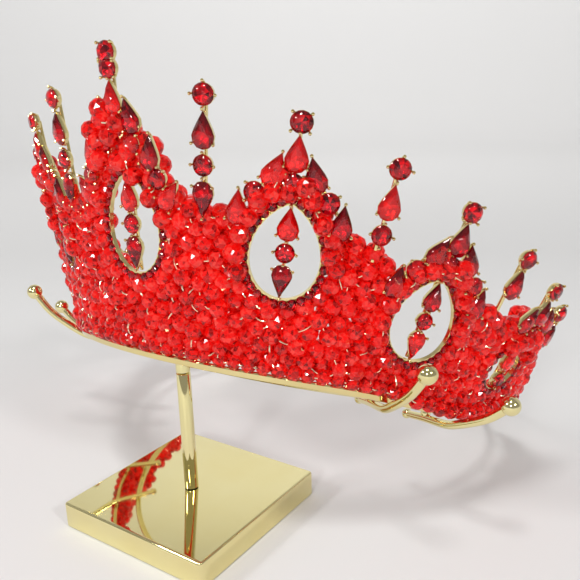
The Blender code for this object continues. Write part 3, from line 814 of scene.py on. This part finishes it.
SPIKES = (
    {"name": "1", "station": 1.07, "top": 0.880, "step": 1.00, "stones": "RPRP"},
    {"name": "3", "station": 3.03, "top": 0.753, "step": 1.00, "stones": "RPR"},
    {"name": "5", "station": 4.98, "top": 0.600, "step": 0.88, "stones": "RP"},
    {"name": "7", "station": 6.48, "top": 0.416, "step": 0.88, "stones": "RP"},
)
for row in SPIKES:
    for sign, side in ((-1, "left_"), (1, "right_")):
        spike = Heap()
        arc = sign * row["station"] * STATION
        height = row["top"] * TOP_HEIGHT
        step = row["step"] * SPIKE_STEP
        for index, kind in enumerate(row["stones"]):
            place = (0.0, -index * step)
            lean = 180.0 if index == 3 else 0.0
            bright = kind == "P" and row["name"] == "3"
            set_stone(spike, kind, place, lean, STONE_BACK, arc, height, bright)
            if index:
                link(spike, (0.0, place[1] + step), (0.0, place[1]), STONE_BACK, arc, height)
        end = (len(row["stones"]) - 1) * step
        tail = (0.9 if len(row["stones"]) > 2 else 1.4) * SPIKE_STEP
        link(spike, (0.0, -end), (0.0, -end - tail), STONE_BACK, arc, height, 0.0012, False)
        label = side + row["name"]
        spike.piece("spike_stones_" + label, SET_MATERIALS, STONE_ANGLE, "set_stones", ["spike_" + label])

for motif in ALL_MOTIFS:
    hanging = Heap()
    count = 2 if motif["name"] == "6" else 3
    last = PEAR_LENGTH if count == 3 else ROUND_STONE
    need = STRAND_STEP * (count - 1) + (PEAR_LENGTH + last) / 2 + 4 * FIT_GAP
    size = min(1.0, motif["drop"] / need)
    start = size * (need / 2 - PEAR_LENGTH / 2 - 2 * FIT_GAP) - motif["drop"] / 2
    back = WALL_FRONT - SETTING_DEPTH
    top = motif["top"] * TOP_HEIGHT
    for index in range(count):
        kind = "R" if index == 1 else "P"
        place = (0.0, start - index * STRAND_STEP * size)
        bright = index == (2 if motif["name"] == "4" else 0)
        set_stone(hanging, kind, place, 180.0 if index == 2 else 0.0, back, motif["arc"], top, bright, size)
        if index:
            link(hanging, (0.0, place[1] + STRAND_STEP * size), place, back, motif["arc"], top)
    link(hanging, (0.0, start), (0.0, -2 * FIT_GAP), back, motif["arc"], top)
    link(hanging, place, (0.0, FIT_GAP - motif["drop"]), back, motif["arc"], top)
    label = motif["label"]
    hanging.piece("hanging_stones_" + label, SET_MATERIALS, STONE_ANGLE, "set_stones", ["strand_" + label])

# Beads
# Several hundred faceted round crystals of five to six millimetres, wired side by side on thin gold
# wire until they cover the frame. They lie a little unevenly, one deeper and one prouder.
BEAD = 0.0055
BEAD_SIDES = 10
SHARDS = 850.0
WALL_DEPTH = -0.0017
UNDER_DEPTH = -0.0042
BAND_CLEAR = 0.0040
PROUD_DEPTH = -0.0018
FRONT_LAYER = {"low": BAND_CLEAR, "clear": RIM_WIDTH + 0.28 * BEAD}
DEEP_LAYER = {"low": 0.0028, "clear": RIM_WIDTH + 0.75 * BEAD}
BEAD_SPACING = 0.93 * BEAD
BEAD_TRIES = 14000
FRONT_UNEVEN = 0.00055
DEEP_UNEVEN = 0.0003
FOOT_UNEVEN = 0.0002
FOOT_BEAD = 0.0046
FOOT_STEP = 0.0039
FOOT_ROWS = (
    {"shift": 0.0, "rise": 0.42, "depth": -0.0006},
    {"shift": 0.5, "rise": 0.64, "depth": -0.0032},
)
HANG_DROP = 0.0019
HANG_STATION = 5.4
HANG_SPREAD = 1.3
CREST_LINE = (
    (0.00, 0.815), (0.24, 0.765), (0.40, 0.670), (0.58, 0.610), (0.78, 0.560), (1.07, 0.540),
    (1.38, 0.535), (1.58, 0.595), (1.78, 0.655), (2.02, 0.690), (2.28, 0.655), (2.48, 0.595),
    (2.66, 0.520), (3.03, 0.508), (3.36, 0.440), (3.58, 0.485), (3.76, 0.530), (3.95, 0.548),
    (4.18, 0.520), (4.36, 0.465), (4.54, 0.415), (4.98, 0.405), (5.32, 0.350), (5.55, 0.380),
    (5.72, 0.405), (5.90, 0.410), (6.08, 0.385), (6.24, 0.325), (6.48, 0.300), (6.90, 0.230),
    (7.40, 0.150), (7.80, 0.095), (8.10, 0.060),
)
LINE_STATIONS = np.array([row[0] for row in CREST_LINE]) * STATION
LINE_HEIGHTS = np.array([row[1] for row in CREST_LINE]) * TOP_HEIGHT


def edge_height(arc):
    """Height of the wall's upper edge."""
    return np.interp(np.abs(arc), LINE_STATIONS, LINE_HEIGHTS)


def hang(arc):
    """How far the lowest beads hang down over the band, which they do towards the sides."""
    return HANG_DROP * np.exp(-((np.abs(arc) / STATION - HANG_STATION) / HANG_SPREAD) ** 2)


def faceted_bead():
    """A round crystal bead cut all over: two end facets and five belts between them."""
    rises = np.radians((-64, -39, -13, 13, 39, 64))
    points = []
    for row, rise in enumerate(rises):
        for side in range(BEAD_SIDES):
            turn = 2 * math.pi * (side + 0.5 * (row % 2)) / BEAD_SIDES
            flat = math.cos(rise)
            points.append((flat * math.cos(turn), flat * math.sin(turn), math.sin(rise)))
    last = (len(rises) - 1) * BEAD_SIDES
    faces = [tuple(reversed(range(BEAD_SIDES))), tuple(range(last, last + BEAD_SIDES))]
    for row in range(len(rises) - 1):
        low = row * BEAD_SIDES
        high = low + BEAD_SIDES
        for side in range(BEAD_SIDES):
            after = (side + 1) % BEAD_SIDES
            if row % 2:
                faces.append((low + side, high + after, high + side))
                faces.append((low + side, low + after, high + after))
            else:
                faces.append((low + side, low + after, high + side))
                faces.append((high + side, low + after, high + after))
    return np.array(points), faces


def opening_clearance(arc, height):
    """How far places on the wall lie outside the nearest opening; inside it is below zero."""
    best = np.full(len(arc), 1.0)
    for motif in ALL_MOTIFS:
        line = opening_outline(motif, 0.0, 90)[0]
        top = motif["top"] * TOP_HEIGHT
        x = (arc - motif["arc"]) * stretch(height)
        y = height - top
        gap = np.sqrt((x[:, None] - line[:, 0]) ** 2 + (y[:, None] - line[:, 1]) ** 2)
        share = np.clip(-y / motif["drop"], 0, 1)
        within = (np.abs(x) < half_width(motif, share)) & (y < 0) & (y > -motif["drop"])
        best = np.minimum(best, np.where(within, -1.0, 1.0) * gap.min(1))
    return best


def bead_room(places, layer):
    """Which places of a layer's beads lie inside the wall's outline and clear of its openings."""
    arcs, heights = places[:, 0], places[:, 1]
    inside = (heights > layer["low"] - 0.7 * hang(arcs)) & (heights < edge_height(arcs) - 0.40 * BEAD)
    inside &= np.abs(arcs) < LINE_STATIONS[-1] - 0.5 * BEAD
    return inside & (opening_clearance(arcs, heights) > layer["clear"])


def settle(fixed, loose, rounds, layer):
    """Push loose beads off their neighbours, as beads on one wire settle beside each other."""
    step = 0.0005
    for turn in range(rounds):
        both = np.vstack([fixed, loose])
        spots = on_wall(both[:, 0], both[:, 1], 0.0)
        along = (on_wall(both[:, 0] + step, both[:, 1], 0.0) - spots)[len(fixed):] / step
        upward = (on_wall(both[:, 0], both[:, 1] + step, 0.0) - spots)[len(fixed):] / step
        away = spots[len(fixed):, None] - spots[None]
        gaps = np.linalg.norm(away, axis=2) + 1e-9
        push = np.clip(BEAD_SPACING - gaps, 0, None) / gaps
        push[np.arange(len(loose)), np.arange(len(loose)) + len(fixed)] = 0
        move = 0.45 * (away * push[:, :, None]).sum(1)
        moved = loose + np.stack([(move * along).sum(1) / (along ** 2).sum(1),
                                  (move * upward).sum(1) / (upward ** 2).sum(1)], 1)
        loose = np.where(bead_room(moved, layer)[:, None], moved, loose)
    return loose


def scattered(fixed, spacing, layer):
    """Random places, kept where they are no closer than the spacing to one kept before."""
    chosen = []
    spots = [] if fixed is None else list(on_wall(fixed[:, 0], fixed[:, 1], 0.0))
    end = LINE_STATIONS[-1]
    arcs = chance.uniform(-end, end, BEAD_TRIES)
    places = np.stack([arcs, chance.uniform(0, TOP_HEIGHT, BEAD_TRIES)], 1)
    places = places[bead_room(places, layer)]
    for place, spot in zip(places, on_wall(places[:, 0], places[:, 1], 0.0)):
        if not spots or np.min(np.linalg.norm(np.array(spots) - spot, axis=1)) > spacing:
            spots.append(spot)
            chosen.append(place)
    return np.array(chosen)


def edge_beads():
    """Rows of beads along the band, round the openings and along the top edge."""
    kept = []
    spots = []

    def add(arc, height, spacing):
        spot = on_wall(arc, height, 0.0)[0]
        if not spots or np.min(np.linalg.norm(np.array(spots) - spot, axis=1)) > spacing:
            spots.append(spot)
            kept.append((arc, height))

    end = LINE_STATIONS[-1]
    for arc in np.arange(-end + 0.5 * BEAD, end - 0.4 * BEAD, 0.80 * BEAD):
        add(arc, BAND_CLEAR - 0.7 * hang(arc) + 0.0010 * chance.random(), 0.5 * BEAD)
    for motif in ALL_MOTIFS:
        length = opening_outline(motif, RIM_WIDTH + 0.30 * BEAD, 300)[1]
        count = int(length / (0.82 * BEAD))
        for x, y in opening_outline(motif, RIM_WIDTH + 0.30 * BEAD, count)[0]:
            height = motif["top"] * TOP_HEIGHT + y
            arc = motif["arc"] + x / stretch(height)
            if BAND_CLEAR < height < edge_height(arc) - 0.25 * BEAD:
                add(arc, height, 0.72 * BEAD)
    for arc in np.arange(-end + 0.7 * BEAD, end - 0.7 * BEAD, 0.2 * BEAD):
        height = float(edge_height(arc)) - 0.42 * BEAD
        clear = opening_clearance(np.array([arc]), np.array([height]))[0]
        if height > BAND_CLEAR and clear > RIM_WIDTH + 0.3 * BEAD:
            add(arc, height, 0.74 * BEAD)
    return np.array(kept)


# Single beads wired on last, beside the openings and in front of the crests. Each has its place
# from the opening's top and its lift off the wall, all in bead widths.
PROUD_COLUMNS = ("along", "up", "lift")
PROUD_BEADS = {
    "centre": (
        (-0.52, 2.44, 0.75), (-0.17, 1.72, 0.80), (0.19, 2.30, 0.65), (-1.44, 2.00, 0.70),
        (-1.00, 1.48, 0.85), (-1.52, 0.50, 0.60), (0.02, 0.62, 0.60), (-2.13, -0.48, 0.45),
        (-1.93, -1.26, 0.40), (0.70, -0.05, 0.55), (1.50, -1.00, 0.50), (2.05, -1.90, 0.45),
        (-0.80, 2.95, 0.60), (0.62, 1.05, 0.55), (-0.95, 0.75, 0.80),
    ),
    "side": (
        (0.54, 0.95, 0.80), (1.45, -0.56, 0.60), (2.00, -1.93, 0.45), (-0.80, 0.50, 0.60),
        (-1.37, 0.12, 0.55), (-2.05, -1.60, 0.45), (-2.15, -2.50, 0.45), (-1.95, -3.35, 0.42),
        (-0.13, 0.60, 0.60), (0.87, 0.45, 0.65), (-1.75, -0.75, 0.45), (2.00, -1.20, 0.45),
        (-0.55, 1.25, 0.35),
    ),
    "end": (
        (0.54, 0.95, 0.70), (1.45, -0.56, 0.50), (-0.80, 0.50, 0.60), (-1.37, 0.12, 0.55),
        (-0.13, 0.60, 0.60), (0.87, 0.45, 0.65),
    ),
}
DEEP_SHARE = 0.90


def bead_places():
    """Arc, height and depth of each bead: the front layer, the deeper one and the proud ones."""
    edges = edge_beads()
    loose = scattered(edges, 0.58 * BEAD, FRONT_LAYER)
    front = np.vstack([edges, settle(edges, loose, 40, FRONT_LAYER)])
    depth = WALL_DEPTH + FRONT_UNEVEN * chance.standard_normal(len(front))
    kept = [np.column_stack([front, depth, np.full(len(front), BEAD)])]
    deep = scattered(None, 0.68 * BEAD, DEEP_LAYER)
    deep = settle(deep[:0], deep, 25, DEEP_LAYER)
    deep = deep[chance.random(len(deep)) < DEEP_SHARE]
    depth = UNDER_DEPTH + DEEP_UNEVEN * chance.standard_normal(len(deep))
    kept.append(np.column_stack([deep, depth, np.full(len(deep), BEAD)]))
    end = LINE_STATIONS[-1] - 0.5 * FOOT_BEAD
    for row in FOOT_ROWS:
        arcs = np.arange(-end, end, FOOT_STEP) + row["shift"] * FOOT_STEP
        heights = row["rise"] * FOOT_BEAD - hang(arcs) + FOOT_UNEVEN * chance.standard_normal(len(arcs))
        depths = row["depth"] + 1.2 * hang(arcs)
        kept.append(np.column_stack([arcs, heights, depths, np.full(len(arcs), FOOT_BEAD)]))
    for motif in ALL_MOTIFS:
        sign = -1 if motif["label"].startswith("left") else 1
        for row in PROUD_BEADS[{"centre": "centre", "6": "end"}.get(motif["name"], "side")]:
            place = dict(zip(PROUD_COLUMNS, row))
            height = motif["top"] * TOP_HEIGHT + place["up"] * BEAD * motif["wide"]
            arc = motif["arc"] + sign * place["along"] * BEAD * motif["wide"] / stretch(height)
            kept.append(np.array([[arc, height, PROUD_DEPTH + place["lift"] * BEAD, 0.94 * BEAD]]))
    return np.vstack(kept)


# The last, pinkish stop stands for light caught on facets: a painted highlight.
BEAD_REDS = (
    (0.00, (0.24, 0.001, 0.001, 1.0)),
    (0.42, (0.88, 0.003, 0.002, 1.0)),
    (0.88, (1.0, 0.008, 0.006, 1.0)),
    (1.00, (1.0, 0.07, 0.05, 1.0)),
)
# Pinkish red of the lines between shards: a painted highlight along facet edges.
PAINTED_HIGHLIGHT_RED = (1.0, 0.06, 0.045, 1.0)


def bead_material():
    """Clear bright red crystal, broken into shards of lighter and darker red with pale painted highlight
    lines between.

    Each facet of a bead has its own depth of red too; the palest, pinkish reds are a painted highlight, and
    the bead glows faintly with its own red, a painted glow.
    """
    made, shader, base = new_material("red_crystal_bead", Roughness=0.015, IOR=1.52,
                                      Transmission_Weight=0.60)
    tint = base.node("ShaderNodeAttribute", {"attribute_name": "tint"}, {}, 2)
    place = base.node("ShaderNodeTexCoord", output=3)
    cells = base.node("ShaderNodeTexVoronoi", {}, {"Vector": place, "Scale": SHARDS}, 1)
    shard = cells.node("ShaderNodeSeparateColor", {}, {0: cells})
    to_edge = {"feature": "DISTANCE_TO_EDGE"}
    edges = base.node("ShaderNodeTexVoronoi", to_edge, {"Vector": place, "Scale": SHARDS})
    # Pale painted highlight lines along the edges of the shards.
    lines = (1.0 - edges * 14.0).at_least(0.0)
    deep = base.node("ShaderNodeValToRGB", {"stops": BEAD_REDS}, {0: tint + shard * 0.6 - 0.3})
    color = (lines * 0.5).mix_to(deep, PAINTED_HIGHLIGHT_RED)
    # The same red feeds the emission: a painted glow, since the bead is no lamp.
    feed(shader, Base_Color=color, Emission_Color=color)
    shader.inputs["Specular IOR Level"].default_value = 0.15
    shader.inputs["Emission Strength"].default_value = 0.12
    return made


places = bead_places()
bead_points, bead_faces = faceted_bead()
beads = Heap()
for arc, height, depth, width in places:
    spin = Matrix.Rotation(chance.uniform(0, 2 * math.pi), 3, Vector(chance.standard_normal(3)))
    size = width / 2 * chance.uniform(0.95, 1.03)
    shape = bead_points @ np.array(spin).T * size
    centre = on_wall(arc, height, depth)[0]
    own = 0.30 if width == FOOT_BEAD else chance.uniform(0.40, 0.70)
    shades = own + 0.38 * chance.standard_normal(len(bead_faces))
    beads.add(shape + centre, bead_faces, 0, np.clip(shades, 0, 1))
bead_red = bead_material()
beads.piece("crystal_beads", [bead_red], None, "crystal_beads", ["bead_wall"])

# Bead wire
# Thin gold wire runs from bead to bead and shows as short glints in the gaps between them.
WIRE = 0.00038
WIRE_SIDES = 6
WIRE_LIGHT = (1.0, 0.93, 0.70, 1.0)
WIRE_DEEP = (0.95, 0.84, 0.55, 1.0)
wire_gold = gold_plate("pale_wire_gold", WIRE_LIGHT, WIRE_DEEP, 0.20, 300.0, 0.00001)
wires = Heap()
front = places[places[:, 2] > 0.5 * UNDER_DEPTH]
centres = on_wall(front[:, 0], front[:, 1], front[:, 2])
outward = on_wall(front[:, 0], front[:, 1], front[:, 2] + BEAD / 2) - centres
for index in range(len(front)):
    gaps = np.linalg.norm(centres - centres[index], axis=1)
    nearest = np.argsort(gaps)[1:6]
    other = int(chance.choice(nearest))
    middle = (centres[index] + centres[other]) / 2
    crest = middle + (outward[index] + outward[other]) / 2 * chance.uniform(0.3, 0.9)
    route = smooth_route([centres[index], crest, centres[other]], 9)
    wires.add(*rod(route, WIRE / 2, WIRE_SIDES))
wires.piece("bead_wire", [wire_gold], ROD_ANGLE, "tiara_gold")

# Floor, light and camera
# A plain pale floor that curves up into a backdrop on the far side, dim even light from all round,
# a wide lamp on the backdrop, and four small bright lamps that give the facets their sparkle.
FLOOR_RADIUS = 1.3
FLOOR_CURVE = 0.6
BACKDROP_HEIGHT = 2.6
BACKDROP_SIDES = 72
CURVE_STEPS = 12
CAMERA_TURN = math.radians(34.7)
FLOOR_COLOR = (0.75, 0.745, 0.74, 1.0)
ROOM_COLOR = (1.0, 0.99, 0.98, 1.0)
ROOM_LIGHT = 0.33
sweep_profile = [(0.02, 0.0), (FLOOR_RADIUS, 0.0)]
for index in range(1, CURVE_STEPS + 1):
    turn = math.pi / 2 * index / CURVE_STEPS
    sweep_profile.append((FLOOR_RADIUS + FLOOR_CURVE * math.sin(turn), FLOOR_CURVE * (1 - math.cos(turn))))
sweep_profile.append((FLOOR_RADIUS + FLOOR_CURVE, BACKDROP_HEIGHT))
sweep_points, sweep_faces = turned(sweep_profile, BACKDROP_SIDES)
floor_mesh = bpy.data.meshes.new("floor")
far_side = Vector((-math.sin(CAMERA_TURN), math.cos(CAMERA_TURN), 0))
kept_faces = []
for face in sweep_faces[:-1]:
    middle = sum((Vector(sweep_points[corner]) for corner in face), Vector()) / len(face)
    if middle.z < 0.001 or middle.dot(far_side) > 0:
        kept_faces.append(face)
floor_mesh.from_pydata(sweep_points, [], kept_faces)
floor_mesh.shade_smooth()
floor = bpy.data.objects.new("floor", floor_mesh)
bpy.context.scene.collection.objects.link(floor)
floor_paint, floor_shader = new_material("pale_floor", Roughness=0.6)[:2]
floor_shader.inputs["Base Color"].default_value = FLOOR_COLOR
floor_mesh.materials.append(floor_paint)
floor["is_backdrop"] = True

world = bpy.data.worlds.new("soft_room")
world.use_nodes = True
room = world.node_tree.nodes["Background"]
room.inputs["Color"].default_value = ROOM_COLOR
room.inputs["Strength"].default_value = ROOM_LIGHT
bpy.context.scene.world = world
BACKDROP_MIDDLE = (-0.9, 1.6, 0.9)
TIARA_MIDDLE = (0.0, 0.02, 0.08)
LAMPS = (
    {"name": "backdrop_wash", "place": (-0.3, 0.5, 1.15), "aim": BACKDROP_MIDDLE, "size": 0.50, "power": 9.8},
    {"name": "sparkle_left", "place": (-0.68, -0.85, 0.80), "aim": TIARA_MIDDLE, "size": 0.19, "power": 4.6},
    {"name": "sparkle_front", "place": (0.37, -1.22, 0.66), "aim": TIARA_MIDDLE, "size": 0.19, "power": 5.2},
    {"name": "sparkle_right", "place": (1.25, -0.35, 0.86), "aim": TIARA_MIDDLE, "size": 0.19, "power": 5.4},
    {"name": "sparkle_high", "place": (0.15, -0.45, 1.35), "aim": TIARA_MIDDLE, "size": 0.26, "power": 6.4},
)
for lamp in LAMPS:
    light = bpy.data.lights.new(lamp["name"], "AREA")
    light.shape = "DISK"
    light.size = lamp["size"]
    light.energy = lamp["power"]
    holder = bpy.data.objects.new(lamp["name"], light)
    holder.location = lamp["place"]
    holder.rotation_euler = (Vector(lamp["aim"]) - holder.location).to_track_quat("-Z", "Y").to_euler()
    bpy.context.scene.collection.objects.link(holder)

CAMERA_PLACE = Vector((0.1359, -0.1399, 0.1248))
CAMERA_PITCH = math.radians(15.9)
CAMERA_ROLL = math.radians(1.74)
PICTURE_WIDTH = 580
FOCUS_IN_PIXELS = 703.5
SENSOR_WIDTH = 36
forward = Vector((-math.sin(CAMERA_TURN) * math.cos(CAMERA_PITCH),
                  math.cos(CAMERA_TURN) * math.cos(CAMERA_PITCH), -math.sin(CAMERA_PITCH)))
level_right = Vector((math.cos(CAMERA_TURN), math.sin(CAMERA_TURN), 0))
level_up = level_right.cross(forward)
right = level_right * math.cos(CAMERA_ROLL) - level_up * math.sin(CAMERA_ROLL)
up = level_right * math.sin(CAMERA_ROLL) + level_up * math.cos(CAMERA_ROLL)
camera_data = bpy.data.cameras.new("camera")
camera_data.lens = FOCUS_IN_PIXELS / PICTURE_WIDTH * SENSOR_WIDTH
camera_data.sensor_width = SENSOR_WIDTH
camera_data.clip_start = 0.01
camera = bpy.data.objects.new("camera", camera_data)
camera.matrix_world = Matrix((
    (right.x, up.x, -forward.x, CAMERA_PLACE.x),
    (right.y, up.y, -forward.y, CAMERA_PLACE.y),
    (right.z, up.z, -forward.z, CAMERA_PLACE.z),
    (0, 0, 0, 1),
))
bpy.context.scene.collection.objects.link(camera)
bpy.context.scene.camera = camera
bpy.context.scene.view_settings.view_transform = "Standard"

low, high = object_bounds()
